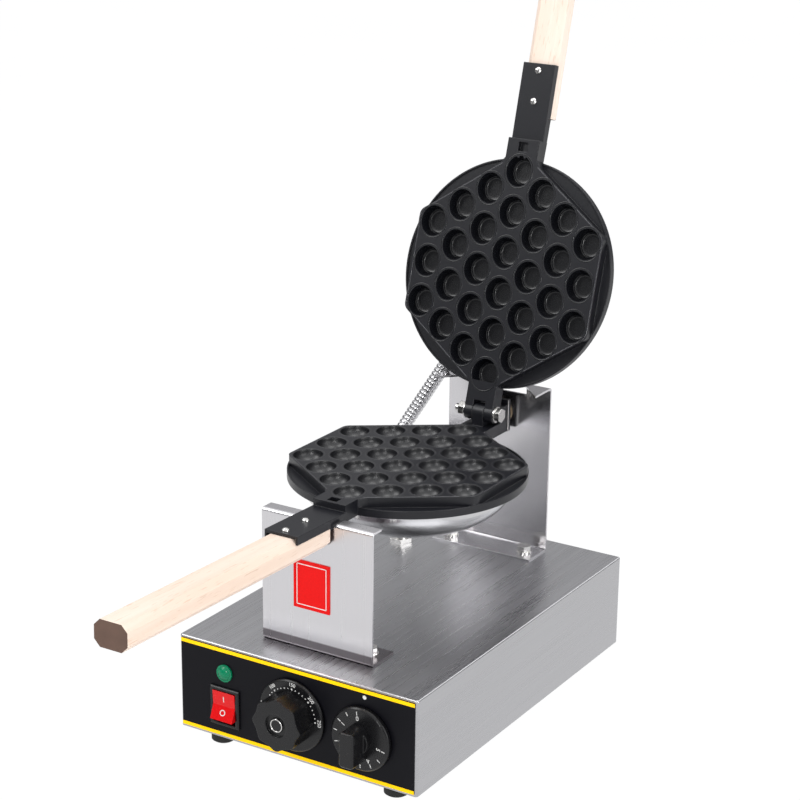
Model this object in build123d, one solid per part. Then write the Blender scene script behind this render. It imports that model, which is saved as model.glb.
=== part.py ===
"""Bubble waffle maker: a stainless base with a control panel, two brackets, and a hinged
pair of cast moulds that opens like a book and turns over about the handle line.
Millimetres, +Z up, the front panel faces -Y, the feet stand on Z = 0.
Written in machine coordinates (Y = 0 at the front face), then moved so that the whole
object is centred on X = 0, Y = 0."""

import os
from math import acos, cos, radians, sin, sqrt, tan

from build123d import *

# Base housing
BASE_W = 200.0
BASE_D = 303.0
BASE_H = 72.0
SHEET = 1.2
CUT = 5.0
FLOOR_GAP = 0.2
FLOOR_LIP = 12.0
VENT_W, VENT_H, VENT_PITCH, VENT_FROM = 48.0, 4.0, 12.0, 110.0
VENT_COUNT = 7
FOOT_H = 11.0
FOOT_R = 9.0
FOOT_X = 74.0
FOOT_INSET = 16.0
FOOT_SCREW_R = 2.0
TERMINAL_W, TERMINAL_D, TERMINAL_H = 60.0, 22.0, 16.0
TERMINAL_SIDE, TERMINAL_BACK = 10.0, 81.0

# Control panel, places across and above the underside of the base
PANEL_T = 0.8
PANEL_MARGIN = 2.0
STRIPE_H = 2.6
STRIPE_T = 0.3
LAMP_X, LAMP_Z = -59.7, 51.7
LAMP_R = 6.5
LAMP_BODY_R = 5.0
SWITCH_X, SWITCH_Z = -59.5, 25.4
BEZEL_W, BEZEL_H, BEZEL_T = 25.0, 30.0, 2.2
ROCKER_W, ROCKER_H = 19.0, 21.4
ROCKER_TILT = 9.0
HEAT_X, HEAT_Z = -1.2, 35.4
HEAT_DIAL_R, HEAT_DIAL_T = 27.0, 2.4
HEAT_KNOB_R, HEAT_KNOB_T = 19.6, 18.0
HEAT_LOBES, HEAT_SWELL = 8, 1.8
KNOB_DISH_R, KNOB_CAP_R = 8.6, 5.4
HEAT_BODY_W, HEAT_BODY_H, HEAT_BODY_T = 34.0, 40.0, 25.0
TIMER_X, TIMER_Z = 56.9, 34.0
TIMER_DIAL_R, TIMER_DIAL_T = 23.6, 4.0
TIMER_GRIP_W, TIMER_GRIP_L, TIMER_GRIP_T = 11.6, 26.0, 17.0
TIMER_GRIP_CORNER, TIMER_GRIP_DROP = 2.5, 1.5
TIMER_HUB_R, TIMER_HUB_T = 9.0, 4.0
TIMER_BODY_R, TIMER_BODY_T = 22.0, 30.0
BUSHING_R, BUSHING_L = 7.0, 5.8
SHAFT_IN = 15.0
SHAFT_R = 3.0
RUNNING = 0.08
KNOB_GAP = 1.0

# Brackets
BRACKET_T = 1.5
FRONT_Y = 26.9
FRONT_W = 92.0
FRONT_H = 99.6
FRONT_FOOT_D = 28.3
FRONT_TOP_D = 11.2
REAR_Y = 280.9
REAR_W = 90.0
REAR_H = 134.6
REAR_FOOT_D = 26.6
REAR_TOP_D = 26.0
REAR_TOP_INNER = 20.5
REAR_NOTCH_W, REAR_NOTCH_D = 48.0, 9.0
BEND_R = 2.5
BOLT_R = 3.0
BOLT_HOLE = 0.2
WASHER_R, WASHER_T = 6.2, 1.2
BOLT_FLATS, BOLT_HEAD, BOLT_NUT = 10.0, 4.2, 5.0
FRONT_BOLT_X = 34.0
REAR_BOLT_X = 33.0
PLATE_W, PLATE_H, PLATE_T = 30.0, 36.0, 0.8
PLATE_X, PLATE_Z = -3.9, 121.5

# Moulds: the pair turns over about a line along Y, PIVOT_RISE above the base top
PIVOT_RISE = 108.4
MOULD_Y = 146.0
DISC_R = 90.0
DISC_T = 12.4
DISC_STEP = 5.6
RIM_W, RIM_H = 3.0, 2.2
HEX_MARGIN = 13.3
HEX_CORNER = 7.0
HEX_T = 10.0
FACE_GAP = 0.15
CUP_COLUMN = 22.24
CUP_PITCH = 31.40
CUP_HALF_X, CUP_HALF_Y = 11.2, 12.4
CUP_DEPTH = 10.4
CUP_FLOOR = 0.56
CUP_COUNTS = (3, 4, 5, 6, 5, 4, 3)
NECK_W = 27.0
NECK_END = -103.1
WINDOW_W, WINDOW_L, WINDOW_D = 8.0, 7.0, 4.0
WINDOW_Y = -97.0
JOURNAL_R = 18.0
JOURNAL_FROM, JOURNAL_TO = -120.8, -98.0
TANG_DROP = 5.3
TANG_L = 58.4
TANG_WEB, TANG_LIP, TANG_DEPTH = 2.3, 1.5, 6.2
HANDLE_TILT = 1.5
WOOD_W, WOOD_H, WOOD_CHAMFER = 26.0, 18.5, 4.6
WOOD_FROM, WOOD_TO = 18.2, 238.0
TANG_SCREWS = (29.4, 53.0)
TANG_SCREW_R, TANG_HEAD_R, TANG_HEAD_H = 2.0, 2.8, 2.2

# Hinge between the moulds, from the mould centre on the parting plane
HINGE_BACK = 107.8
HINGE_UP = 6.3
OPEN_ANGLE = 107.05
LUG_R = 7.0
BARREL_HALF = 4.9
LUG_IN, LUG_OUT = 5.15, 12.25
HINGE_BOLT_R = 3.0
FLANGE_Y = 126.5
FLANGE_SIDE, FLANGE_T = 25.4, 4.0
STOP_GAP = 0.25
STOP_TOP = 9.0

# Turning pivot behind the rear flange
PIVOT_R = 8.0
PIVOT_STUD_R, PIVOT_STUD_L = 5.0, 13.0
COLLAR_R = 11.0
PIVOT_THREAD_R = 6.0
BUSH_R, BUSH_FLANGE_R, BUSH_FLANGE_T = 10.0, 11.6, 1.2

# Heater shells under each mould
SHELL_R = 80.0
SHELL_FLAT_R = 36.0
SHELL_MID_R, SHELL_MID_RISE = 63.5, 7.0
SHELL_RIM = 3.5
SHELL_T = 1.0
SHELL_DEPTH = 30.0
ELEMENT_R, ELEMENT_TUBE = 54.0, 4.0
CLAMP_R, CLAMP_T = 62.0, 1.5

# Flexible conduits: routes in machine coordinates, from ferrule to ferrule
CONDUIT_R = 4.8
CONDUIT_WALL = 1.0
FERRULE_R, FERRULE_L, FERRULE_IN = 6.2, 10.5, 16.0
UPPER_FERRULE = (-44.9, 285.8, 229.9)
UPPER_CORNER = (-98.0, 253.9, 129.6)
LOWER_FERRULE = (-52.1, 204.1, 162.4)
FEED_FERRULE = (-34.7, 211.3, 158.4)
FEED_CORNER = (-62.0, 238.0, 136.4)
GLAND_R, GLAND_H = 8.0, 9.0

# Mains gland at the back
INLET_X, INLET_Z = 70.0, 22.0
INLET_BORE_R = 3.6

BASE_TOP = FOOT_H + BASE_H
AXIS_Z = BASE_TOP + PIVOT_RISE
HINGE_Y = MOULD_Y + HINGE_BACK
HINGE_Z = AXIS_Z + HINGE_UP
PANEL_FRONT = -PANEL_T


def vec(points):
    return [Vector(*p) for p in points]


def cyl_y(x, y, z, r, length):
    """A cylinder along +Y that starts at y."""
    return Pos(x, y, z) * Rot(-90, 0, 0) * Cylinder(r, length, align=(Align.CENTER, Align.CENTER, Align.MIN))


def cyl_x(x, y, z, r, length):
    """A cylinder along +X that starts at x."""
    return Pos(x, y, z) * Rot(0, 90, 0) * Cylinder(r, length, align=(Align.CENTER, Align.CENTER, Align.MIN))


def cyl_z(x, y, z, r, length):
    """A cylinder along +Z that starts at z."""
    return Pos(x, y, z) * Cylinder(r, length, align=(Align.CENTER, Align.CENTER, Align.MIN))


def block(x0, x1, y0, y1, z0, z1):
    """A box between two corners."""
    return Pos((x0 + x1) / 2, (y0 + y1) / 2, (z0 + z1) / 2) * Box(x1 - x0, y1 - y0, z1 - z0)


def hexagon_z(x, y, z, flats, height):
    """A hexagonal prism along +Z."""
    return Pos(x, y, z) * extrude(RegularPolygon(flats / sqrt(3), 6), height)


def along(direction):
    """The rotation that turns +Z onto a direction."""
    return Plane(origin=(0, 0, 0), z_dir=Vector(*direction)).location


# Base

def housing():
    """Folded stainless cover, open below, with a hole for every fitting."""
    outer = block(-BASE_W / 2, BASE_W / 2, 0, BASE_D, FOOT_H, BASE_TOP)
    outer = fillet(outer.edges().filter_by(Axis.Z), 2.0)
    outer = fillet(outer.faces().sort_by(Axis.Z)[-1].edges(), 1.2)
    w = BASE_W / 2 - SHEET
    inner = block(-w, w, SHEET, BASE_D - SHEET, FOOT_H - CUT, BASE_TOP - SHEET)
    body = outer - inner
    holes = [cyl_z(x, y, BASE_TOP - CUT, BOLT_R + BOLT_HOLE, 2 * CUT) for x, y in bracket_bolts()]
    holes.append(cyl_z(FEED_CORNER[0], FEED_CORNER[1], BASE_TOP - CUT, GLAND_R - 2.0, 2 * CUT))
    holes.append(cyl_y(INLET_X, BASE_D - CUT, FOOT_H + INLET_Z, INLET_BORE_R + 2.4, 2 * CUT))
    return body - holes - panel_holes(-CUT, 2 * CUT)


def panel_holes(y, depth):
    """What the front panel and the front wall share: lamp, switch, two shafts."""
    low, high = FOOT_H + SWITCH_Z - 13.2, FOOT_H + SWITCH_Z + 13.2
    return [
        cyl_y(LAMP_X, y, FOOT_H + LAMP_Z, LAMP_BODY_R + 0.2, depth),
        block(SWITCH_X - 10.7, SWITCH_X + 10.7, y, y + depth, low, high),
        cyl_y(HEAT_X, y, FOOT_H + HEAT_Z, SHAFT_R + 1.5, depth),
        cyl_y(TIMER_X, y, FOOT_H + TIMER_Z, SHAFT_R + 1.5, depth),
    ]


def bracket_bolts():
    """The four bolt places through the base top."""
    front_y = FRONT_Y + FRONT_FOOT_D * 0.58
    rear_y = REAR_Y - REAR_FOOT_D * 0.5
    return [(s * FRONT_BOLT_X, front_y) for s in (-1, 1)] + [(s * REAR_BOLT_X, rear_y) for s in (-1, 1)]


def foot_places():
    return [(s * FOOT_X, y) for s in (-1, 1) for y in (FOOT_INSET, BASE_D - FOOT_INSET)]


def bottom_plate():
    """Floor sheet inside the cover, with upturned edges and rows of vent slots."""
    start = SHEET + FLOOR_GAP
    w, d = BASE_W / 2 - start, BASE_D - start
    plate = block(-w, w, start, d, FOOT_H, FOOT_H + SHEET)
    plate += block(-w, -w + SHEET, start, d, FOOT_H, FOOT_H + FLOOR_LIP)
    plate += block(w - SHEET, w, start, d, FOOT_H, FOOT_H + FLOOR_LIP)
    slots = []
    for i in range(VENT_COUNT):
        y = VENT_FROM + i * VENT_PITCH
        slots.append(block(-VENT_W / 2, VENT_W / 2, y, y + VENT_H, FOOT_H - CUT, FOOT_H + CUT))
    holes = [cyl_z(x, y, FOOT_H - CUT, FOOT_SCREW_R + 0.15, 2 * CUT) for x, y in foot_places()]
    return plate - slots - holes


def rubber_foot(x, y):
    """Tapered foot with a counterbore for its screw."""
    foot = Pos(x, y, 0) * revolve(Plane.XZ * make_face(Polyline(
        (0, 0), (FOOT_R - 1.6, 0), (FOOT_R, 1.2), (FOOT_R, FOOT_H), (0, FOOT_H), close=True)), Axis.Z)
    foot -= cyl_z(x, y, -1, FOOT_SCREW_R * 2.4, 5.0)
    return foot - cyl_z(x, y, -1, FOOT_SCREW_R + 0.05, FOOT_H + 2)


def foot_screw(x, y):
    """Pan head screw up through the foot, with its nut on the floor sheet."""
    screw = cyl_z(x, y, 1.6, FOOT_SCREW_R * 1.9, 2.4)
    screw += cyl_z(x, y, 1.6, FOOT_SCREW_R, FOOT_H + SHEET + 5)
    return screw + hexagon_z(x, y, FOOT_H + SHEET, 7.0, 3.2)


def control_panel():
    half = BASE_W / 2 - PANEL_MARGIN
    plate = block(-half, half, -PANEL_T, 0, FOOT_H + PANEL_MARGIN, BASE_TOP - PANEL_MARGIN)
    return plate - panel_holes(-PANEL_T - 1, PANEL_T + 2)


def stripe(z):
    half = BASE_W / 2 - PANEL_MARGIN
    return block(-half, half, PANEL_FRONT - STRIPE_T, PANEL_FRONT, z, z + STRIPE_H)


def pilot_lamp():
    """Lens on the panel, and the barrel, nut and tabs behind it."""
    z = FOOT_H + LAMP_Z
    lens = cyl_y(LAMP_X, PANEL_FRONT - 1.4, z, LAMP_R, 1.4)
    dome = Pos(LAMP_X, PANEL_FRONT + 3.1, z) * Sphere(6.9)
    lens += dome & block(LAMP_X - 7, LAMP_X + 7, PANEL_FRONT - 6, PANEL_FRONT - 0.7, z - 7, z + 7)
    body = cyl_y(LAMP_X, PANEL_FRONT, z, LAMP_BODY_R, 20)
    body += Pos(LAMP_X, SHEET, z) * Rot(-90, 0, 0) * extrude(RegularPolygon(8.0, 6), 3)
    for s in (-1, 1):
        body += block(LAMP_X + s * 2.5 - 0.4, LAMP_X + s * 2.5 + 0.4, 18, 27, z - 1.6, z + 1.6)
    return lens, body


def power_switch():
    """Snap-in rocker switch: bezel and body, the rocker, and three tabs."""
    z = FOOT_H + SWITCH_Z
    bezel = block(SWITCH_X - BEZEL_W / 2, SWITCH_X + BEZEL_W / 2, PANEL_FRONT - BEZEL_T, PANEL_FRONT,
                  z - BEZEL_H / 2, z + BEZEL_H / 2)
    bezel = chamfer(bezel.faces().sort_by(Axis.Y)[0].edges(), 0.9)
    body = bezel + block(SWITCH_X - 10.5, SWITCH_X + 10.5, PANEL_FRONT, 22, z - 13, z + 13)
    pocket_w, pocket_h = ROCKER_W / 2 + 0.35, ROCKER_H / 2 + 1.7
    body -= block(SWITCH_X - pocket_w, SWITCH_X + pocket_w, -9, 12, z - pocket_h, z + pocket_h)
    for dz in (-8, 0, 8):
        body += block(SWITCH_X - 3.2, SWITCH_X + 3.2, 21, 30, z + dz - 0.4, z + dz + 0.4)
    pin_y = 5.0
    body += cyl_x(SWITCH_X - pocket_w - 0.5, pin_y, z, 1.5, 2 * pocket_w + 1)
    rocker = rocker_cap(pin_y, z)
    return body, rocker, pin_y


def rocker_cap(pin_y, z):
    """Rocker with a shallow V face, its upper half pressed in, bored for the pin."""
    half = ROCKER_H / 2
    side = [(-pin_y + PANEL_FRONT - BEZEL_T - 2.4, half), (-pin_y + PANEL_FRONT - 2.2, 0),
            (-pin_y + PANEL_FRONT - BEZEL_T - 2.4, -half), (-2.0, -half + 1.6), (3.0, -4.0), (3.0, 4.0),
            (-2.0, half - 1.6)]
    face = make_face(Polyline(*[(y, h) for y, h in side], close=True))
    cap = extrude(Plane.YZ * face, ROCKER_W / 2, both=True)
    cap = Pos(SWITCH_X, pin_y, z) * Rot(-ROCKER_TILT, 0, 0) * cap
    return cap - cyl_x(SWITCH_X - 12, pin_y, z, 1.5 + RUNNING, 24)


def lobed_face(r, lobes, swell):
    """A round outline with shallow lobes, as one closed spline."""
    points = []
    for i in range(lobes * 2):
        a = i * 180.0 / lobes
        rr = r if i % 2 == 0 else r - swell
        points.append((rr * cos(radians(a)), rr * sin(radians(a))))
    return make_face(Spline(*points, periodic=True))


def on_panel(x, z, y):
    """Front-facing plane: its normal points at the user."""
    return Plane(origin=(x, y, z), x_dir=(1, 0, 0), z_dir=(0, -1, 0))


def heat_control():
    """Thermostat: knob, numbered dial, and the body with its bush behind the wall."""
    z = FOOT_H + HEAT_Z
    back = PANEL_FRONT - KNOB_GAP
    dial = extrude(on_panel(HEAT_X, z, back) * Circle(HEAT_DIAL_R), HEAT_DIAL_T)
    dial = chamfer(dial.faces().sort_by(Axis.Y)[0].edges(), 1.0)
    dial -= cyl_y(HEAT_X, back - 10, z, SHAFT_R, 20)
    start = back - HEAT_DIAL_T
    knob = extrude(on_panel(HEAT_X, z, start) * lobed_face(HEAT_KNOB_R, HEAT_LOBES, HEAT_SWELL), HEAT_KNOB_T)
    knob -= extrude(on_panel(HEAT_X, z, start - HEAT_KNOB_T + 1.8) * Circle(KNOB_DISH_R), 3)
    knob += extrude(on_panel(HEAT_X, z, start - HEAT_KNOB_T + 2.0) * Circle(KNOB_CAP_R), 1.4)
    knob -= cyl_y(HEAT_X, start - 11, z, SHAFT_R, 20)
    shaft = cyl_y(HEAT_X, start - 10.8, z, SHAFT_R, 10.8 - start + SHEET + SHAFT_IN)
    front = SHEET + BUSHING_L
    body = cyl_y(HEAT_X, SHEET, z, BUSHING_R, BUSHING_L)
    body += block(HEAT_X - HEAT_BODY_W / 2, HEAT_X + HEAT_BODY_W / 2, front, front + HEAT_BODY_T,
                  z - HEAT_BODY_H / 2, z + HEAT_BODY_H / 2)
    body -= cyl_y(HEAT_X, 0, z, SHAFT_R + RUNNING, SHEET + SHAFT_IN + 0.2)
    return knob, dial, shaft, body


def timer_control():
    """Timer: bar grip, dial skirt, and the clockwork body behind the wall."""
    z = FOOT_H + TIMER_Z
    back = PANEL_FRONT - KNOB_GAP
    dial = extrude(on_panel(TIMER_X, z, back) * Circle(TIMER_DIAL_R), TIMER_DIAL_T)
    dial = chamfer(dial.faces().sort_by(Axis.Y)[0].edges(), 1.2)
    dial -= cyl_y(TIMER_X, back - 10, z, SHAFT_R, 20)
    start = back - TIMER_DIAL_T
    bar = RectangleRounded(TIMER_GRIP_W, TIMER_GRIP_L, TIMER_GRIP_CORNER)
    grip = extrude(on_panel(TIMER_X, z - TIMER_GRIP_DROP, start) * bar, TIMER_GRIP_T)
    grip = chamfer(grip.faces().sort_by(Axis.Y)[0].edges(), 0.8)
    grip += cyl_y(TIMER_X, start - TIMER_HUB_T, z, TIMER_HUB_R, TIMER_HUB_T)
    grip -= cyl_y(TIMER_X, start - 9, z, SHAFT_R, 20)
    shaft = cyl_y(TIMER_X, start - 8.8, z, SHAFT_R, 8.8 - start + SHEET + SHAFT_IN)
    body = cyl_y(TIMER_X, SHEET, z, BUSHING_R, BUSHING_L)
    body += cyl_y(TIMER_X, SHEET + BUSHING_L, z, TIMER_BODY_R, TIMER_BODY_T)
    body -= cyl_y(TIMER_X, 0, z, SHAFT_R + RUNNING, SHEET + SHAFT_IN + 0.2)
    return grip, dial, shaft, body


def terminal_block():
    """Four-way terminal strip on the floor sheet."""
    z = FOOT_H + SHEET
    right, back = BASE_W / 2 - TERMINAL_SIDE, BASE_D - TERMINAL_BACK
    middle = back - TERMINAL_D / 2
    strip = block(right - TERMINAL_W, right, back - TERMINAL_D, back, z, z + TERMINAL_H)
    for i in range(4):
        x = right - TERMINAL_W * (i + 0.5) / 4
        strip -= cyl_z(x, middle, z + TERMINAL_H / 2, 3.5, TERMINAL_H)
        strip += cyl_z(x, middle, z + TERMINAL_H / 4, 2.6, TERMINAL_H / 2)
    return strip


def mains_gland():
    """Strain relief in the rear wall, its bore open for a mains lead, with an inner nut."""
    z = FOOT_H + INLET_Z
    gland = cyl_y(INLET_X, BASE_D, z, 9.0, 4) + cyl_y(INLET_X, BASE_D + 4, z, 7.4, 9)
    gland += cyl_y(INLET_X, BASE_D - 14, z, INLET_BORE_R + 2.2, 15)
    nut = Pos(INLET_X, BASE_D - SHEET - 4, z) * Rot(-90, 0, 0) * extrude(RegularPolygon(10.5, 6), 4)
    return (gland + nut) - cyl_y(INLET_X, BASE_D - 20, z, INLET_BORE_R, 40)


def conduit_gland():
    """Ring nut on the base top that holds the lower end of the feed conduit."""
    x, y = FEED_CORNER[0], FEED_CORNER[1]
    gland = hexagon_z(x, y, BASE_TOP, 17.0, 3.5) + cyl_z(x, y, BASE_TOP, FERRULE_R, GLAND_H)
    gland += cyl_z(x, y, BASE_TOP - 9, GLAND_R - 2.2, 9.5)
    gland += hexagon_z(x, y, BASE_TOP - SHEET - 3.5, 17.0, 3.5)
    return gland - cyl_z(x, y, BASE_TOP - 20, CONDUIT_R + 0.1, 60)


# Brackets

def bent_bracket(y, foot, top, height, width, sign):
    """Bracket from three overlapping strips with rounded outer bends."""
    t = BRACKET_T
    w = width / 2
    if sign > 0:
        low = block(-w, w, y, y + foot, 0, t)
        wall = block(-w, w, y, y + t, 0, height)
        high = block(-w, w, y, y + top, height - t, height)
    else:
        low = block(-w, w, y - foot, y + t, 0, t)
        wall = block(-w, w, y, y + t, 0, height)
        high = block(-w, w, y - top, y + t, height - t, height)
    body = low + wall + high
    outer = [e for e in body.edges().filter_by(Axis.X)
             if abs(e.center().Y - (y if sign > 0 else y + t)) < 0.01
             and (abs(e.center().Z) < 0.01 or abs(e.center().Z - height) < 0.01)]
    body = fillet(outer, BEND_R)
    inner_y = y + t if sign > 0 else y
    inner = [e for e in body.edges().filter_by(Axis.X)
             if abs(e.center().Y - inner_y) < 0.01
             and (abs(e.center().Z - t) < 0.01 or abs(e.center().Z - height + t) < 0.01)]
    body = fillet(inner, BEND_R - t + 0.2)
    return Pos(0, 0, BASE_TOP) * body


def front_bracket():
    """Front bracket with the round notch that the neck turns in."""
    body = bent_bracket(FRONT_Y, FRONT_FOOT_D, FRONT_TOP_D, FRONT_H, FRONT_W, 1)
    body -= cyl_y(0, FRONT_Y - 5, AXIS_Z, JOURNAL_R + RUNNING, 40)
    return body - [cyl_z(x, y, BASE_TOP - CUT, BOLT_R + BOLT_HOLE, 2 * CUT) for x, y in bracket_bolts()[:2]]


def rear_bracket():
    """Rear bracket: only two triangular ends of its top flange are left, clear of the round mould."""
    body = bent_bracket(REAR_Y, REAR_FOOT_D, REAR_TOP_D, REAR_H, REAR_W, -1)
    z = BASE_TOP + REAR_H
    y1, far = REAR_Y, REAR_W / 2 + 2
    y0 = y1 - (far - REAR_TOP_INNER)
    cut = make_face(Polyline((-REAR_TOP_INNER, y1), (REAR_TOP_INNER, y1), (far, y0), (far, y0 - 10),
                             (-far, y0 - 10), (-far, y0), close=True))
    body -= Pos(0, 0, z - 4) * extrude(cut, 10)
    body -= block(-REAR_NOTCH_W / 2, REAR_NOTCH_W / 2, y1 - 5, y1 + 5, z - REAR_NOTCH_D, z + 5)
    body -= cyl_y(0, REAR_Y - 5, AXIS_Z, BUSH_R, 15)
    return body - [cyl_z(x, y, BASE_TOP - CUT, BOLT_R + BOLT_HOLE, 2 * CUT) for x, y in bracket_bolts()[2:]]


def bracket_bolt(x, y):
    """Hex bolt with a washer above the flange and a nut under the base top."""
    z = BASE_TOP + BRACKET_T
    under = BASE_TOP - SHEET
    bolt = cyl_z(x, y, z, WASHER_R, WASHER_T) + hexagon_z(x, y, z + WASHER_T, BOLT_FLATS, BOLT_HEAD)
    bolt += cyl_z(x, y, under - 2 * BOLT_NUT, BOLT_R, z + WASHER_T - under + 2 * BOLT_NUT)
    return bolt + hexagon_z(x, y, under - BOLT_NUT, BOLT_FLATS, BOLT_NUT)


def pivot_bush():
    """Flanged bronze bush in the rear bracket, bored for the turning shaft."""
    bush = cyl_y(0, REAR_Y, AXIS_Z, BUSH_R, BRACKET_T + 3.0)
    bush += cyl_y(0, REAR_Y - BUSH_FLANGE_T, AXIS_Z, BUSH_FLANGE_R, BUSH_FLANGE_T)
    return bush - cyl_y(0, REAR_Y - 5, AXIS_Z, PIVOT_R + 0.05, 20)


# Moulds, in the mould's own frame: origin on the parting plane, +Z out of the cavities,
# +Y towards the hinge

def cup_places():
    places = []
    for col, count in enumerate(CUP_COUNTS):
        for row in range(count):
            places.append(((col - 3) * CUP_COLUMN, (row - (count - 1) / 2) * CUP_PITCH))
    return places


def cup():
    """One oval cup: a tapered wall between two ellipses."""
    top = Pos(0, 0, 1) * Ellipse(CUP_HALF_X, CUP_HALF_Y)
    bottom = Pos(0, 0, -CUP_DEPTH) * Ellipse(CUP_HALF_X * CUP_FLOOR, CUP_HALF_Y * CUP_FLOOR)
    return loft([bottom, top], ruled=True)


def hexagon_corners():
    """Corners of the cup plate: each side runs HEX_MARGIN outside the outer row of cup centres."""
    half_pitch = CUP_PITCH / 2
    step = sqrt(half_pitch ** 2 + CUP_COLUMN ** 2)
    nx, ny = half_pitch / step, CUP_COLUMN / step
    reach = ny * (max(CUP_COUNTS) - 1) * half_pitch + HEX_MARGIN
    side = 3 * CUP_COLUMN + HEX_MARGIN
    y_side, y_end = (reach - nx * side) / ny, reach / ny
    return [(0, y_end), (side, y_side), (side, -y_side), (0, -y_end), (-side, -y_side), (-side, y_side)]


def mould_plate():
    """Hexagonal cup plate on the round disc with its raised rim."""
    face = -FACE_GAP
    disc = cyl_z(0, 0, -DISC_T, DISC_R, DISC_T - DISC_STEP)
    rim = cyl_z(0, 0, -DISC_STEP - 0.1, DISC_R, RIM_H + 0.1) - cyl_z(0, 0, -DISC_STEP - 1, DISC_R - RIM_W, 9)
    outline = fillet(make_face(Polyline(*hexagon_corners(), close=True)).vertices(), HEX_CORNER)
    hexa = Pos(0, 0, -HEX_T) * extrude(outline, HEX_T + face)
    return disc + rim + hexa


def neck():
    """Front neck: flared root, round journal under it, and a small pocket in its top."""
    w = NECK_W / 2
    root = make_face(Polyline((-w, NECK_END), (w, NECK_END), (w, -88), (w + 9, -76), (-w - 9, -76), (-w, -88),
                              close=True))
    body = Pos(0, 0, -DISC_T) * extrude(root, DISC_T - FACE_GAP)
    journal = cyl_y(0, JOURNAL_FROM, 0, JOURNAL_R, JOURNAL_TO - JOURNAL_FROM)
    body += journal & block(-w, w, JOURNAL_FROM, JOURNAL_TO, -JOURNAL_R - 1, -TANG_DROP - 0.4)
    body -= block(-WINDOW_W / 2, WINDOW_W / 2, WINDOW_Y - WINDOW_L / 2, WINDOW_Y + WINDOW_L / 2, -WINDOW_D, 1)
    return body


def on_tang(shape):
    """From the tang's frame (-Y along the handle, Z = 0 at its top face) to the mould's."""
    return Pos(0, NECK_END, -TANG_DROP) * Rot(-HANDLE_TILT, 0, 0) * shape


def tang():
    """Inverted channel over the wood, with two screw holes."""
    w = NECK_W / 2
    body = block(-w, w, -TANG_L, 1.0, -TANG_WEB, 0)
    for s in (-1, 1):
        x0, x1 = sorted((s * w, s * (w - TANG_LIP)))
        body += block(x0, x1, -TANG_L, -WOOD_FROM + 0.3, -TANG_DEPTH, 0)
    holes = [cyl_z(0, -s, -TANG_WEB - 1, TANG_SCREW_R + 0.1, TANG_WEB + 2) for s in TANG_SCREWS]
    return on_tang(body - holes)


def cast_body():
    """What both moulds share: plate, neck, tang and cups."""
    body = mould_plate() + neck() + tang()
    one = cup()
    body -= Part() + [Pos(x, y, 0) * one for x, y in cup_places()]
    return body - cyl_z(0, 0, -DISC_T - 1, 2.5, 1.8)


def lower_mould():
    """Lower casting: rear arm with the middle barrel, stop, and the square rear flange."""
    body = cast_body()
    body += block(-LUG_OUT, LUG_OUT, 86, FLANGE_Y + 0.5, -DISC_T, -3.0)
    body += block(-BARREL_HALF, BARREL_HALF, HINGE_BACK - LUG_R, HINGE_BACK + LUG_R, -4, HINGE_UP)
    body += cyl_x(-BARREL_HALF, HINGE_BACK, HINGE_UP, LUG_R, 2 * BARREL_HALF)
    t = radians(OPEN_ANGLE - 90)
    back = DISC_T - HINGE_UP - FACE_GAP + STOP_GAP + FACE_GAP
    front = HINGE_BACK + back * cos(t) + (STOP_TOP - HINGE_UP + back * sin(t)) * tan(t)
    body += block(-LUG_OUT, LUG_OUT, front, FLANGE_Y + 0.5, -4, STOP_TOP)
    side = FLANGE_SIDE / 2
    body += block(-side, side, FLANGE_Y, FLANGE_Y + FLANGE_T, -side, side)
    body -= cyl_x(-20, HINGE_BACK, HINGE_UP, HINGE_BOLT_R + 0.03, 40)
    body -= cyl_y(0, FLANGE_Y + FLANGE_T - PIVOT_STUD_L - 0.3, 0, PIVOT_STUD_R, PIVOT_STUD_L + 5)
    return body


def upper_mould():
    """Upper casting: rear arm that forks into the two outer lugs."""
    body = cast_body()
    body += block(-LUG_OUT, LUG_OUT, 84, HINGE_BACK - LUG_R - 1.6, -DISC_T, -FACE_GAP)
    for s in (-1, 1):
        x0, x1 = sorted((s * LUG_IN, s * LUG_OUT))
        body += block(x0, x1, 90, HINGE_BACK, -DISC_T, -FACE_GAP)
        body += cyl_x(x0, HINGE_BACK, -HINGE_UP, LUG_R, x1 - x0)
    return body - cyl_x(-20, HINGE_BACK, -HINGE_UP, HINGE_BOLT_R + RUNNING, 40)


def handle():
    """Beech bar with chamfered corners, rebated where the tang's lips cover it."""
    middle = -(WOOD_FROM + WOOD_TO) / 2
    bar = Pos(0, middle, -TANG_WEB - WOOD_H / 2) * Box(WOOD_W, WOOD_TO - WOOD_FROM, WOOD_H)
    bar = chamfer(bar.edges().filter_by(Axis.Y), WOOD_CHAMFER)
    inside = NECK_W / 2 - TANG_LIP - 0.05
    for s in (-1, 1):
        x0, x1 = sorted((s * inside, s * (WOOD_W / 2 + 1)))
        bar -= block(x0, x1, -TANG_L - 0.2, 0, -TANG_DEPTH - 0.2, 1)
    holes = [cyl_z(0, -s, -TANG_WEB - 14.2, TANG_SCREW_R, 15) for s in TANG_SCREWS]
    return on_tang(bar - holes)


def tang_screw(s):
    """Domed screw through the tang into the wood."""
    head = Pos(0, -s, 0) * revolve(Plane.XZ * make_face(
        Polyline((0, 0), (TANG_HEAD_R, 0), (TANG_HEAD_R * 0.94, TANG_HEAD_H * 0.4),
                 (TANG_HEAD_R * 0.62, TANG_HEAD_H * 0.86), (0, TANG_HEAD_H), close=True)), Axis.Z)
    return on_tang(head + cyl_z(0, -s, -TANG_WEB - 14, TANG_SCREW_R, TANG_WEB + 14.2))


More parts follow.
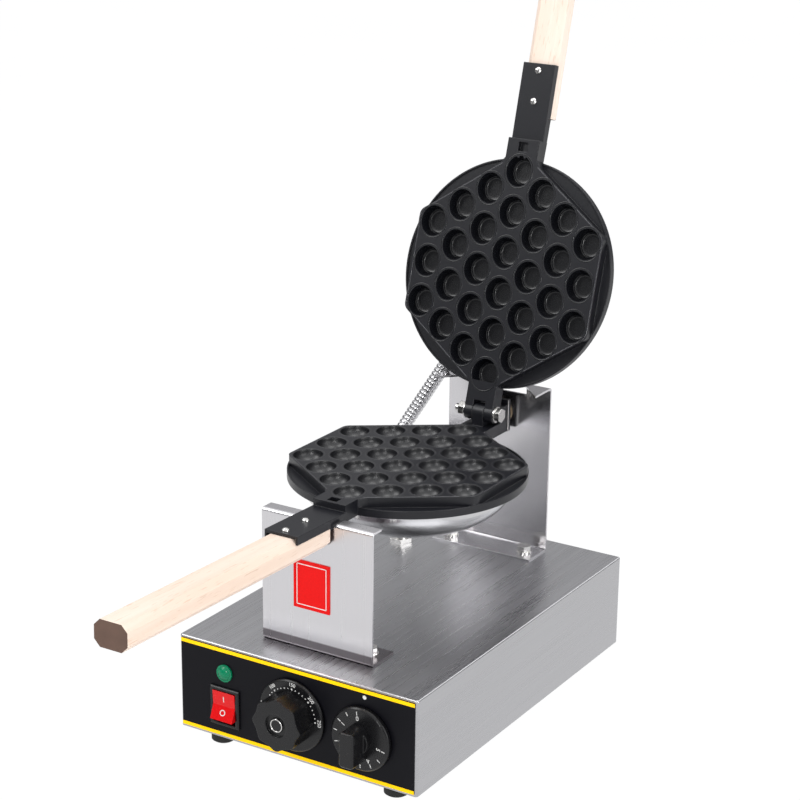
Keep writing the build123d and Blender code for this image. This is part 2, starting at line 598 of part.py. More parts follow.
def bowl_outside():
    """The bowl's outer outline, from the bottom centre up to the rim."""
    top, low = -DISC_T, -DISC_T - SHELL_DEPTH
    middle = (SHELL_MID_R, low + SHELL_MID_RISE)
    outline = Polyline((0, low), (SHELL_FLAT_R, low))
    outline += ThreePointArc((SHELL_FLAT_R, low), middle, (SHELL_R, top - SHELL_RIM))
    return outline + Polyline((SHELL_R, top - SHELL_RIM), (SHELL_R, top))


def bowl_solid():
    """The bowl filled in, to trim the ferrules that stand on it."""
    closing = Polyline((SHELL_R, -DISC_T), (0, -DISC_T), (0, -DISC_T - SHELL_DEPTH))
    return revolve(Plane.XZ * make_face(bowl_outside() + closing), Axis.Z)


def heater_shell():
    """Polished spun bowl under the mould, its rim against the disc."""
    top, low = -DISC_T, -DISC_T - SHELL_DEPTH
    outer = bowl_outside()
    r = SHELL_R - SHELL_T
    inset = 0.7 * SHELL_T
    inner = Polyline((r, top), (r, top - SHELL_RIM))
    inner += ThreePointArc((r, top - SHELL_RIM), (SHELL_MID_R - inset, low + SHELL_MID_RISE + inset),
                           (SHELL_FLAT_R, low + SHELL_T))
    inner += Polyline((SHELL_FLAT_R, low + SHELL_T), (0, low + SHELL_T))
    ends = Polyline((SHELL_R, top), (r, top)) + Polyline((0, low + SHELL_T), (0, low))
    bowl = revolve(Plane.XZ * make_face(outer + inner + ends), Axis.Z)
    return bowl - cyl_z(0, 0, low - 1, 3.2, 5)


def heating_element():
    """Ring heater against the underside of the mould, with its two cold ends."""
    z = -DISC_T - ELEMENT_TUBE
    ring = Pos(0, 0, z) * Torus(ELEMENT_R, ELEMENT_TUBE)
    ring -= Pos(0, -ELEMENT_R, z) * Box(14, 14, 12)
    for s in (-1, 1):
        ring += Pos(s * 6.2, -ELEMENT_R, z) * Rot(0, 0, 0) * cyl_y(0, 0, 0, 3.0, 22)
    return ring


def element_clamp():
    """Clamp plate that holds the ring up."""
    z = -DISC_T - 2 * ELEMENT_TUBE - CLAMP_T
    plate = cyl_z(0, 0, z, CLAMP_R, CLAMP_T)
    for k in range(6):
        a = radians(60 * k + 30)
        plate -= cyl_z(34 * cos(a), 34 * sin(a), z - 1, 9, 5)
    return plate - cyl_z(0, 0, z - 1, 2.55, 5)


def shell_bolt():
    """Stud from the mould down through the clamp and the bowl, with a domed nut."""
    low = -DISC_T - SHELL_DEPTH
    bolt = cyl_z(0, 0, low - 3, 2.5, SHELL_DEPTH + 3.8)
    bolt += cyl_z(0, 0, low - 1.2, 7.0, 1.2) + hexagon_z(0, 0, low - 5.4, 9.0, 4.2)
    return bolt + hexagon_z(0, 0, -DISC_T - 2 * ELEMENT_TUBE - CLAMP_T - 3, 8.0, 3.0)


def in_lower(shape):
    return Pos(0, MOULD_Y, AXIS_Z) * shape


def in_upper(shape):
    """Shut on the lower mould, then opened about the hinge."""
    closed = Pos(0, MOULD_Y, AXIS_Z) * Rot(0, 180, 0) * shape
    return Pos(0, HINGE_Y, HINGE_Z) * Rot(-OPEN_ANGLE, 0, 0) * Pos(0, -HINGE_Y, -HINGE_Z) * closed


def hinge_bolt():
    """Hex bolt with its washer, from the right."""
    head = LUG_OUT + 0.1
    bolt = cyl_x(-22.0, HINGE_Y, HINGE_Z, HINGE_BOLT_R, 22.0 + head + 2)
    bolt += cyl_x(head, HINGE_Y, HINGE_Z, 6.2, 1.2)
    return bolt + Pos(head + 1.2, HINGE_Y, HINGE_Z) * Rot(0, 90, 0) * extrude(RegularPolygon(5.8, 6), 4.2)


def hinge_nut():
    start = -LUG_OUT - 0.1
    nut = Pos(start - 6.2, HINGE_Y, HINGE_Z) * Rot(0, 90, 0) * extrude(RegularPolygon(5.8, 6), 5.0)
    nut += cyl_x(start - 1.2, HINGE_Y, HINGE_Z, 6.2, 1.2)
    return nut - cyl_x(-30, HINGE_Y, HINGE_Z, HINGE_BOLT_R, 20)


def pivot_shaft():
    """Turned shaft: stud in the flange, collar, journal and thread."""
    start = MOULD_Y + FLANGE_Y + FLANGE_T
    journal_end = REAR_Y + BRACKET_T + 3.3
    shaft = cyl_y(0, start - PIVOT_STUD_L, AXIS_Z, PIVOT_STUD_R, PIVOT_STUD_L + 1)
    shaft += cyl_y(0, start, AXIS_Z, COLLAR_R, REAR_Y - BUSH_FLANGE_T - 0.1 - start)
    shaft += cyl_y(0, start, AXIS_Z, PIVOT_R, journal_end - start)
    return shaft + cyl_y(0, start, AXIS_Z, PIVOT_THREAD_R, journal_end + 14 - start)


def pivot_washer():
    start = REAR_Y + BRACKET_T + 3.3
    return cyl_y(0, start, AXIS_Z, 13.5, 2.0) - cyl_y(0, start - 1, AXIS_Z, PIVOT_THREAD_R, 5)


def pivot_nut():
    start = REAR_Y + BRACKET_T + 5.3
    nut = Pos(0, start, AXIS_Z) * Rot(-90, 0, 0) * extrude(RegularPolygon(10.4, 6), 9)
    return nut - cyl_y(0, start - 1, AXIS_Z, PIVOT_THREAD_R, 14)


# Conduits

def unit(a, b):
    d = Vector(*b) - Vector(*a)
    return d.normalized()


def ferrule(base, direction, bowl):
    """Collar with a hexagonal nut, seated on the bowl, its bore holding the end of a conduit."""
    place = Pos(*base) * along(direction)
    body = cyl_z(0, 0, -FERRULE_IN, FERRULE_R, FERRULE_L + FERRULE_IN) + hexagon_z(0, 0, 3.0, 13.5, 4.0)
    return place * body - place * cyl_z(0, 0, 4.0, CONDUIT_R, 30) - bowl


def conduit(points, name):
    """Armoured tube along two straight runs joined by one arc."""
    a, b, c = vec(points)
    first, second = (b - a).normalized(), (c - b).normalized()
    half_turn = acos(max(-1.0, min(1.0, first.dot(second)))) / 2
    run = min((b - a).length, (c - b).length)
    radius = 0.86 * run / tan(half_turn)
    print(name, "bend radius", round(radius, 1), "length", round((b - a).length + (c - b).length, 1))
    path = FilletPolyline(a, b, c, radius=radius)
    start = Plane(origin=a, z_dir=first)
    ring = Circle(CONDUIT_R - 0.02) - Circle(CONDUIT_R - CONDUIT_WALL)
    return sweep(start * ring, path=path)


def point_on(base, direction, distance):
    d = Vector(*direction).normalized()
    p = Vector(*base) + d * distance
    return (p.X, p.Y, p.Z)


def conduit_parts():
    """Two conduits and their three ferrules."""
    lower_dir = unit(LOWER_FERRULE, UPPER_CORNER)
    feed_dir = unit(FEED_FERRULE, FEED_CORNER)
    d1, d2 = (lower_dir.X, lower_dir.Y, lower_dir.Z), (feed_dir.X, feed_dir.Y, feed_dir.Z)
    upper_dir = unit(UPPER_FERRULE, UPPER_CORNER)
    d0 = (upper_dir.X, upper_dir.Y, upper_dir.Z)
    inset = 5.0
    ends = point_on(UPPER_FERRULE, d0, inset), point_on(LOWER_FERRULE, d1, inset)
    link = conduit([ends[0], UPPER_CORNER, ends[1]], "link")
    gland_top = (FEED_CORNER[0], FEED_CORNER[1], BASE_TOP + 1.0)
    feed = conduit([gland_top, FEED_CORNER, point_on(FEED_FERRULE, d2, inset)], "feed")
    bowl = in_lower(bowl_solid())
    return {
        "link_conduit": [link],
        "feed_conduit": [feed],
        "upper_ferrule": [ferrule(UPPER_FERRULE, d0, in_upper(bowl_solid()))],
        "lower_ferrules": [ferrule(LOWER_FERRULE, d1, bowl), ferrule(FEED_FERRULE, d2, bowl)],
    }


def face_plate():
    """Plain red plate with a low rim, riveted to the front bracket."""
    y = FRONT_Y - PLATE_T
    z = FOOT_H + PLATE_Z
    plate = block(PLATE_X - PLATE_W / 2, PLATE_X + PLATE_W / 2, y, FRONT_Y, z - PLATE_H / 2, z + PLATE_H / 2)
    return plate - block(PLATE_X - PLATE_W / 2 + 1.4, PLATE_X + PLATE_W / 2 - 1.4, y - 1, y + 0.25,
                         z - PLATE_H / 2 + 1.4, z + PLATE_H / 2 - 1.4)


def all_nodes():
    """Every node, as a list of its solids."""
    lens, lamp_body = pilot_lamp()
    switch, rocker, pin_y = power_switch()
    heat_knob, heat_dial, heat_shaft, heat_body = heat_control()
    grip, timer_dial, timer_shaft, timer_body = timer_control()
    nodes = {
        "base_housing": [housing()],
        "bottom_plate": [bottom_plate()],
        "rubber_feet": [rubber_foot(x, y) for x, y in foot_places()],
        "foot_screws": [foot_screw(x, y) for x, y in foot_places()],
        "control_panel": [control_panel()],
        "panel_stripes": [stripe(FOOT_H + PANEL_MARGIN), stripe(BASE_TOP - PANEL_MARGIN - STRIPE_H)],
        "lamp_lens": [lens],
        "lamp_body": [lamp_body],
        "switch_body": [switch],
        "switch_rocker": [rocker],
        "heat_knob": [heat_knob],
        "heat_dial": [heat_dial],
        "heat_shaft": [heat_shaft],
        "heat_body": [heat_body],
        "timer_grip": [grip],
        "timer_dial": [timer_dial],
        "timer_shaft": [timer_shaft],
        "timer_body": [timer_body],
        "terminal_block": [terminal_block()],
        "mains_gland": [mains_gland()],
        "conduit_gland": [conduit_gland()],
        "front_bracket": [front_bracket()],
        "rear_bracket": [rear_bracket()],
        "bracket_bolts": [bracket_bolt(x, y) for x, y in bracket_bolts()],
        "front_plate": [face_plate()],
        "pivot_bush": [pivot_bush()],
        "lower_mould": [in_lower(lower_mould())],
        "upper_mould": [in_upper(upper_mould())],
        "hinge_bolt": [hinge_bolt()],
        "hinge_nut": [hinge_nut()],
        "pivot_shaft": [pivot_shaft()],
        "pivot_washer": [pivot_washer()],
        "pivot_nut": [pivot_nut()],
    }
    for side, place in (("lower", in_lower), ("upper", in_upper)):
        nodes[side + "_handle"] = [place(handle())]
        nodes[side + "_handle_screws"] = [place(tang_screw(s)) for s in TANG_SCREWS]
        nodes[side + "_shell"] = [place(heater_shell())]
        nodes[side + "_element"] = [place(heating_element())]
        nodes[side + "_clamp"] = [place(element_clamp())]
        nodes[side + "_shell_bolt"] = [place(shell_bolt())]
    nodes.update(conduit_parts())
    return nodes


def main():
    os.makedirs("parts", exist_ok=True)
    nodes = all_nodes()
    shapes = {name: Compound(children=solids) if len(solids) > 1 else solids[0] for name, solids in nodes.items()}
    boxes = [s.bounding_box() for s in shapes.values()]
    low_y = min(b.min.Y for b in boxes)
    high_y = max(b.max.Y for b in boxes)
    shift = -(low_y + high_y) / 2
    print("shift along Y", round(shift, 4), "axis height", AXIS_Z)
    print("hinge at", round(HINGE_Y + shift, 4), HINGE_Z)
    for name, shape in shapes.items():
        export_step(Pos(0, shift, 0) * shape, f"parts/{name}.step")


main()
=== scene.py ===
"""Looks of the bubble waffle maker: materials, cup liners, armoured conduits, dial marks,
studio and camera. Metres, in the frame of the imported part."""

from math import cos, hypot, pi, radians, sin, sqrt

import bmesh
import bpy
from mathutils import Matrix, Vector


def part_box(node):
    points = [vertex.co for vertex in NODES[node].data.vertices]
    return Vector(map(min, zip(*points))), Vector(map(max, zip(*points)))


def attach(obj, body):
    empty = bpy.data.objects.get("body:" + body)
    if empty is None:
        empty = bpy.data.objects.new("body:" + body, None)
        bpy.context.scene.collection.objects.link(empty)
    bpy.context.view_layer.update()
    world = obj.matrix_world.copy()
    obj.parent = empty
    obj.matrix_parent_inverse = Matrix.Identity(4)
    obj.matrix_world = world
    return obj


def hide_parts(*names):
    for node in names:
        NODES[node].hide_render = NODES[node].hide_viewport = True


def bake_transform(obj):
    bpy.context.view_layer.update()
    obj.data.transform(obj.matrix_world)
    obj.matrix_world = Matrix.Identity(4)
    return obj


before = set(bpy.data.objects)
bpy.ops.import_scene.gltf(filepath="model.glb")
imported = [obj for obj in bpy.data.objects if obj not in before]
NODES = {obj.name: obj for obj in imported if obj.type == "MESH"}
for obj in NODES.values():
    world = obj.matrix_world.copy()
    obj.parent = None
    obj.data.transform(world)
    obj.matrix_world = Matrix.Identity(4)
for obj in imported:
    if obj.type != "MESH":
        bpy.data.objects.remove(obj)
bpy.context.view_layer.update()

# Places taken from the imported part, and the axes as the part has them
HOUSING_LOW, HOUSING_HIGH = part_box("base_housing")
PANEL_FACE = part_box("control_panel")[0][1]
FRONT_Y = HOUSING_LOW[1]
BASE_TOP = HOUSING_HIGH[2]
UNDERSIDE = HOUSING_LOW[2]
PIVOT_RISE = 0.1084
AXIS_Z = BASE_TOP + PIVOT_RISE
MOULD_BACK, HINGE_BACK, HINGE_UP = 0.146, 0.2538, 0.0063
HINGE = Vector((0.0, FRONT_Y + HINGE_BACK, AXIS_Z + HINGE_UP))
OPEN_ANGLE = radians(107.05)
LOWER = Matrix.Translation((0, FRONT_Y + MOULD_BACK, AXIS_Z))
UPPER = (Matrix.Translation(HINGE) @ Matrix.Rotation(-OPEN_ANGLE, 4, "X") @ Matrix.Translation(-HINGE)
         @ LOWER @ Matrix.Rotation(pi, 4, "Y"))

# Cup plate, in the mould's own frame: Z = 0 is where the two moulds part
FACE = -0.00015
CUP_COUNTS = (3, 4, 5, 6, 5, 4, 3)
CUP_COLUMN, CUP_PITCH = 0.02224, 0.03140
CUP_X, CUP_Y = 0.0115, 0.0127
CUP_REACH = 1.01
CUP_FLOOR_BELOW = -0.0110
CUP_SIDES = 48
HEX_MARGIN = 0.0133

# Edges softened by the shader, where a finish has no radius of its own
SOFT_EDGE = 0.0004


# Materials

def new_material(name):
    mat = bpy.data.materials.new(name)
    mat.use_nodes = True
    tree = mat.node_tree
    return mat, tree, tree.nodes["Principled BSDF"]


def coordinates(tree, scale, turn=(0, 0, 0)):
    """Object coordinates, turned and then stretched."""
    place = tree.nodes.new("ShaderNodeTexCoord")
    turned = tree.nodes.new("ShaderNodeMapping")
    turned.inputs["Rotation"].default_value = turn
    tree.links.new(place.outputs["Object"], turned.inputs["Vector"])
    mapped = tree.nodes.new("ShaderNodeMapping")
    mapped.inputs["Scale"].default_value = scale
    tree.links.new(turned.outputs["Vector"], mapped.inputs["Vector"])
    return mapped.outputs["Vector"]


def noise(tree, vector, scale, detail=4.0, rough=0.6):
    node = tree.nodes.new("ShaderNodeTexNoise")
    node.inputs["Scale"].default_value = scale
    node.inputs["Detail"].default_value = detail
    node.inputs["Roughness"].default_value = rough
    tree.links.new(vector, node.inputs["Vector"])
    return node.outputs["Fac"]


def spread(tree, value, low, high, from_low=0.3, from_high=0.7):
    """Maps a noise value onto a range."""
    node = tree.nodes.new("ShaderNodeMapRange")
    node.inputs["From Min"].default_value = from_low
    node.inputs["From Max"].default_value = from_high
    node.inputs["To Min"].default_value = low
    node.inputs["To Max"].default_value = high
    tree.links.new(value, node.inputs["Value"])
    return node.outputs["Result"]


def blend_colors(tree, value, first, second):
    node = tree.nodes.new("ShaderNodeMix")
    node.data_type = "RGBA"
    node.inputs[6].default_value = (*first, 1)
    node.inputs[7].default_value = (*second, 1)
    tree.links.new(value, node.inputs[0])
    return node.outputs[2]


def soften(tree, shader, radius, height=None, strength=0.1, distance=0.0001):
    """Rounded edges by a bevel normal, with an optional bump over them."""
    bevel = tree.nodes.new("ShaderNodeBevel")
    bevel.samples = 6
    bevel.inputs["Radius"].default_value = radius
    normal = bevel.outputs["Normal"]
    if height is not None:
        bump = tree.nodes.new("ShaderNodeBump")
        bump.inputs["Strength"].default_value = strength
        bump.inputs["Distance"].default_value = distance
        tree.links.new(height, bump.inputs["Height"])
        tree.links.new(normal, bump.inputs["Normal"])
        normal = bump.outputs["Normal"]
    tree.links.new(normal, shader.inputs["Normal"])


def multiplied(tree, factor, tone, color):
    """Darkens a tone by a colour where the factor says so."""
    mix = tree.nodes.new("ShaderNodeMix")
    mix.data_type = "RGBA"
    mix.blend_type = "MULTIPLY"
    tree.links.new(factor, mix.inputs[0])
    tree.links.new(tone, mix.inputs[6])
    mix.inputs[7].default_value = (*color, 1)
    return mix.outputs[2]


def split(tree, vector):
    parts = tree.nodes.new("ShaderNodeSeparateXYZ")
    tree.links.new(vector, parts.inputs[0])
    return parts.outputs


def brushed(name, color, stretch, low, high, strength, contrast, painted_reflection_band=None):
    """Steel with fine streaks along one direction, and darker below a height if one is given: a painted dark
    reflection.
    """
    mat, tree, shader = new_material(name)
    shader.inputs["Metallic"].default_value = 1.0
    streaks = noise(tree, coordinates(tree, stretch), 1.0, 3.0, 0.6)
    dark = tuple(c * contrast for c in color)
    tone = blend_colors(tree, spread(tree, streaks, 0, 1), dark, color)
    if painted_reflection_band:
        # Painted reflection: below the given height the steel is darkened, as if a dark band were reflected
        # in it
        height = split(tree, tree.nodes.new("ShaderNodeNewGeometry").outputs["Position"])["Z"]
        tone = multiplied(tree, spread(tree, height, 1, 0, *painted_reflection_band), tone, (0.30, 0.28, 0.29))
    tree.links.new(tone, shader.inputs["Base Color"])
    tree.links.new(spread(tree, streaks, low, high), shader.inputs["Roughness"])
    soften(tree, shader, SOFT_EDGE, streaks, strength, 0.00005)
    return mat


def plain(name, color, low, high, scale, bevel=SOFT_EDGE, strength=0.06, metallic=0.0, coat=0.0, vary=0.9,
          shine=0.5, glow=0.0):
    """A finish whose tone and gloss vary a little; a glow, where one is given, is painted light."""
    mat, tree, shader = new_material(name)
    shader.inputs["Specular IOR Level"].default_value = shine
    shader.inputs["Metallic"].default_value = metallic
    shader.inputs["Coat Weight"].default_value = coat
    shader.inputs["Coat Roughness"].default_value = 0.15
    # Emission in the finish's own colour: a painted glow
    shader.inputs["Emission Color"].default_value = (*color, 1)
    shader.inputs["Emission Strength"].default_value = glow
    grain = noise(tree, coordinates(tree, (1, 1, 1)), scale)
    darker = tuple(c * vary for c in color)
    tree.links.new(blend_colors(tree, spread(tree, grain, 0, 1), darker, color), shader.inputs["Base Color"])
    tree.links.new(spread(tree, grain, low, high), shader.inputs["Roughness"])
    soften(tree, shader, bevel, grain, strength, 0.00008)
    return mat


def beech(name, turn):
    """Pale beech: long grain, short darker flecks, dark brown end faces."""
    mat, tree, shader = new_material(name)
    along = coordinates(tree, (55, 3.0, 55), turn)
    flecks = coordinates(tree, (900, 70, 900), turn)
    grain = noise(tree, along, 1.0, 5.0, 0.55)
    fleck = noise(tree, flecks, 1.0, 2.0, 0.5)
    base = blend_colors(tree, spread(tree, grain, 0, 1, 0.35, 0.65), (0.84, 0.66, 0.54), (0.95, 0.82, 0.72))
    wood = multiplied(tree, spread(tree, fleck, 0.5, 0.0, 0.30, 0.38), base, (0.72, 0.58, 0.47))
    # Faces that look along the handle, its end faces, are dark brown
    facing = tree.nodes.new("ShaderNodeVectorRotate")
    facing.rotation_type = "EULER_XYZ"
    facing.inputs["Rotation"].default_value = turn
    tree.links.new(tree.nodes.new("ShaderNodeTexCoord").outputs["Normal"], facing.inputs["Vector"])
    size = tree.nodes.new("ShaderNodeMath")
    size.operation = "ABSOLUTE"
    tree.links.new(split(tree, facing.outputs["Vector"])["Y"], size.inputs[0])
    dark_end_tone = blend_colors(tree, spread(tree, grain, 0, 1), (0.105, 0.058, 0.04), (0.15, 0.085, 0.06))
    final = tree.nodes.new("ShaderNodeMix")
    final.data_type = "RGBA"
    tree.links.new(spread(tree, size.outputs[0], 0, 1, 0.85, 0.95), final.inputs[0])
    tree.links.new(wood, final.inputs[6])
    tree.links.new(dark_end_tone, final.inputs[7])
    tree.links.new(final.outputs[2], shader.inputs["Base Color"])
    tree.links.new(spread(tree, grain, 0.5, 0.65), shader.inputs["Roughness"])
    soften(tree, shader, 0.0006, fleck, 0.15, 0.00005)
    return mat


def lens_material():
    """Green tinted lens."""
    mat, tree, shader = new_material("lens_green")
    ripple = noise(tree, coordinates(tree, (1, 1, 1)), 900.0)
    tree.links.new(blend_colors(tree, spread(tree, ripple, 0, 1), (0.0, 0.17, 0.075), (0.0, 0.25, 0.115)),
                   shader.inputs["Base Color"])
    shader.inputs["Roughness"].default_value = 0.2
    shader.inputs["Specular IOR Level"].default_value = 0.3
    soften(tree, shader, 0.0003)
    return mat


def make_materials():
    return {
        "base_steel": brushed("base_steel", (0.52, 0.52, 0.535), (700, 6, 700), 0.24, 0.36, 0.07, 0.90),
        # The front bracket carries a painted dark reflection along its lower part
        "front_steel": brushed("front_steel", (0.72, 0.71, 0.73), (350, 350, 5), 0.27, 0.29, 0.002, 0.99,
                               painted_reflection_band=(0.0905, 0.0915)),
        "rear_steel": brushed("rear_steel", (0.66, 0.65, 0.67), (350, 350, 5), 0.18, 0.20, 0.003, 0.985),
        "polished": plain("polished_steel", (0.66, 0.66, 0.67), 0.10, 0.2, 60.0, 0.0006, 0.03, metallic=1.0),
        "zinc": plain("fastener_steel", (0.74, 0.73, 0.71), 0.12, 0.24, 500.0, 0.0003, 0.05, metallic=1.0),
        "mould": plain("cast_black", (0.0085, 0.009, 0.0125), 0.30, 0.40, 2200.0, 0.0009, 0.22, vary=0.8,
                       shine=0.42),
        # The cups' blacks are darker than the cast black: painted shade inside the cups
        "cup": plain("cup_black_painted_shade", (0.0045, 0.005, 0.007), 0.22, 0.30, 2200.0, 0.0002, 0.05, vary=0.8),
        "dish": plain("dish_black_painted_shade", (0.006, 0.0065, 0.009), 0.36, 0.44, 2200.0, 0.0002, 0.1, vary=0.8,
                      shine=0.8),
        # Lighter than the cast black: a painted highlight for the lines along the cup plate's edge
        "edge": plain("painted_edge_highlight", (0.05, 0.05, 0.06), 0.2, 0.3, 2200.0, 0.0002, 0.1, vary=0.8, shine=0.9),
        "panel": plain("panel_black", (0.005, 0.005, 0.0075), 0.36, 0.46, 1200.0, 0.0002, 0.05, shine=0.12),
        # The stripes, the red plate and the rocker glow a little: painted light that makes them brighter
        "yellow": plain("stripe_yellow", (1.0, 0.60, 0.0), 0.4, 0.5, 800.0, 0.0001, vary=0.95, shine=0.15,
                        glow=0.35),
        "red_plate": plain("plate_red", (0.78, 0.006, 0.006), 0.3, 0.4, 600.0, 0.0003, shine=0.12, glow=0.1),
        "knob": plain("knob_black", (0.006, 0.006, 0.007), 0.24, 0.32, 1500.0, 0.0012, shine=0.4),
        "rocker": plain("rocker_red", (0.72, 0.003, 0.005), 0.2, 0.28, 500.0, 0.0005, 0.03, coat=0.1,
                        shine=0.25, glow=0.1),
        "lens": lens_material(),
        "rubber": plain("rubber_black", (0.010, 0.010, 0.010), 0.6, 0.75, 700.0, 0.0006),
        "white": plain("mark_white", (0.85, 0.85, 0.84), 0.45, 0.55, 900.0, 0.0001),
        "body_white": plain("body_white", (0.72, 0.70, 0.64), 0.4, 0.5, 400.0),
        "bronze": plain("bush_bronze", (0.32, 0.24, 0.15), 0.25, 0.35, 400.0, metallic=1.0),
        "lower_wood": beech("beech_lower", (0, 0, 0)),
        "upper_wood": beech("beech_upper", (OPEN_ANGLE, 0, 0)),
    }


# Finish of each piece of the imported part
CAD_FINISH = {
    "base_steel": ("base_housing", "bottom_plate", "lower_clamp", "upper_clamp"),
    "front_steel": ("front_bracket",),
    "rear_steel": ("rear_bracket",),
    "polished": ("lower_shell", "upper_shell", "upper_ferrule", "lower_ferrules"),
    "zinc": ("foot_screws", "heat_shaft", "timer_shaft", "timer_body", "bracket_bolts", "hinge_bolt",
             "hinge_nut", "pivot_shaft", "pivot_washer", "pivot_nut", "lower_handle_screws",
             "upper_handle_screws", "lower_shell_bolt", "upper_shell_bolt", "lower_element",
             "upper_element", "conduit_gland"),
    "mould": ("lower_mould", "upper_mould"),
    "panel": ("control_panel",),
    "yellow": ("panel_stripes",),
    "red_plate": ("front_plate",),
    "knob": ("heat_knob", "heat_dial", "timer_grip", "timer_dial", "switch_body", "lamp_body", "mains_gland"),
    "rocker": ("switch_rocker",),
    "lens": ("lamp_lens",),
    "rubber": ("rubber_feet",),
    "body_white": ("heat_body", "terminal_block"),
    "bronze": ("pivot_bush",),
    "lower_wood": ("lower_handle",),
    "upper_wood": ("upper_handle",),
}


def finish_cad(mats):
    for name, nodes in CAD_FINISH.items():
        for node in nodes:
            obj = NODES[node]
            obj.data.materials.clear()
            obj.data.materials.append(mats[name])


# Mesh helpers

def mesh_piece(name, verts, faces, mat, body, smooth=True):
    mesh = bpy.data.meshes.new(name)
    mesh.from_pydata([tuple(v) for v in verts], [], faces)
    mesh.materials.append(mat)
    if smooth:
        mesh.polygons.foreach_set("use_smooth", [True] * len(mesh.polygons))
    mesh.update()
    obj = bpy.data.objects.new(name, mesh)
    bpy.context.scene.collection.objects.link(obj)
    if body:
        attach(obj, body)
    return obj


def cup_places():
    places = []
    for col, count in enumerate(CUP_COUNTS):
        for row in range(count):
            places.append(((col - 3) * CUP_COLUMN, (row - (count - 1) / 2) * CUP_PITCH))
    return places


# Cup outlines are pairs of a share of the cup's half size and a height in millimetres over the face
LIP = [(1.085, -0.10), (1.072, 0.06), (1.050, 0.12), (1.015, 0.12), (0.990, -0.02), (0.972, -0.35),
       (0.962, -0.9)]


def cup_profile():
    """Raised lip, a sloping wall with a small step at its foot, and a flat floor."""
    return LIP + [(0.935, -1.8), (0.88, -4.0), (0.82, -6.3), (0.780, -7.8), (0.764, -8.25), (0.750, -8.38),
                  (0.734, -8.46), (0.722, -8.62), (0.708, -9.1), (0.68, -9.45), (0.62, -9.62), (0.50, -9.68),
                  (0.30, -9.7), (0.12, -9.7)]


def dish_profile():
    """Raised lip, then a rounded dish."""
    return LIP + [(0.955 * cos(radians(a)) ** 0.9, -1.3 - 8.3 * sin(radians(a))) for a in range(6, 88, 5)]


def cup_liners(name, profile, place, body, mat):
    """One mesh with every cup's smooth inner surface."""
    verts, faces = [], []
    for cx, cy in cup_places():
        start = len(verts)
        for factor, z in profile:
            for i in range(CUP_SIDES):
                a = 2 * pi * i / CUP_SIDES
                spot = (cx + CUP_X * factor * cos(a), cy + CUP_Y * factor * sin(a), FACE + z / 1000)
                verts.append(place @ Vector(spot))
        for ring in range(len(profile) - 1):
            for i in range(CUP_SIDES):
                j = (i + 1) % CUP_SIDES
                a, b = start + ring * CUP_SIDES, start + (ring + 1) * CUP_SIDES
                faces.append((a + i, a + j, b + j, b + i))
        last = start + (len(profile) - 1) * CUP_SIDES
        faces.append(tuple(last + i for i in range(CUP_SIDES)))
    return mesh_piece(name, verts, faces, mat, body)


def in_a_cup(x, y):
    for cx, cy in cup_places():
        if ((x - cx) / (CUP_X * CUP_REACH)) ** 2 + ((y - cy) / (CUP_Y * CUP_REACH)) ** 2 < 1:
            return True
    return False


# Disc under the cup plate: radius and heights on the plain casting, and where the photo has them
DISC_R, DISC_SHRINK, RIM_IN = 0.090, 0.982, 0.0035
CAD_RIM, CAD_STEP = -0.0034, -0.0056
RIM_TOP, STEP_TOP = -0.0066, -0.0078
NEAR = 0.0002


def open_casting(node, place, body, mat):
    """The casting with its disc as in the photo, and without its plain cups, which the liners replace."""
    mesh = NODES[node].data.copy()
    back = place.inverted()
    work = bmesh.new()
    work.from_mesh(mesh)
    for v in work.verts:
        p = back @ v.co
        r = hypot(p.x, p.y)
        if abs(p.z - CAD_RIM) < NEAR and DISC_R - RIM_IN < r < DISC_R + NEAR:
            p.z = RIM_TOP
        elif abs(p.z - CAD_STEP) < NEAR and r < DISC_R + NEAR:
            p.z = STEP_TOP
        if abs(r - DISC_R) < NEAR:
            p.x, p.y = p.x * DISC_SHRINK, p.y * DISC_SHRINK
        v.co = place @ p
    gone = []
    for face in work.faces:
        c = back @ face.calc_center_median()
        if CUP_FLOOR_BELOW < c.z < FACE - 0.00001 and in_a_cup(c.x, c.y):
            gone.append(face)
    bmesh.ops.delete(work, geom=gone, context="FACES")
    work.to_mesh(mesh)
    work.free()
    mesh.materials.clear()
    mesh.materials.append(mat)
    obj = bpy.data.objects.new(node + "_open", mesh)
    bpy.context.scene.collection.objects.link(obj)
    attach(obj, body)
    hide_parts(node)


# Fine raised line along the edge of the cup plate, lighter than the casting as a painted highlight, in metres
BEAD_R, BEAD_SINK = 0.00042, 0.00031
BEAD_IN, BEAD_END, BEAD_CORNER = 0.0009, 0.0150, 0.004


def bead(name, points, place, body, mat):
    """A fine raised line on the face of a casting."""
    verts, faces = [], []
    turns = 8
    count = len(points)
    for k, p in enumerate(points):
        ahead = Vector(points[min(k + 1, count - 1)]) - Vector(points[max(k - 1, 0)])
        side = Vector((-ahead.y, ahead.x, 0)).normalized()
        for j in range(turns):
            b = 2 * pi * j / turns
            verts.append(place @ (Vector(p) + side * (BEAD_R * cos(b)) + Vector((0, 0, BEAD_R * sin(b)))))
    for k in range(count - 1):
        for j in range(turns):
            q = (j + 1) % turns
            faces.append((k * turns + j, k * turns + q, (k + 1) * turns + q, (k + 1) * turns + j))
    return mesh_piece(name, verts, faces, mat, body)


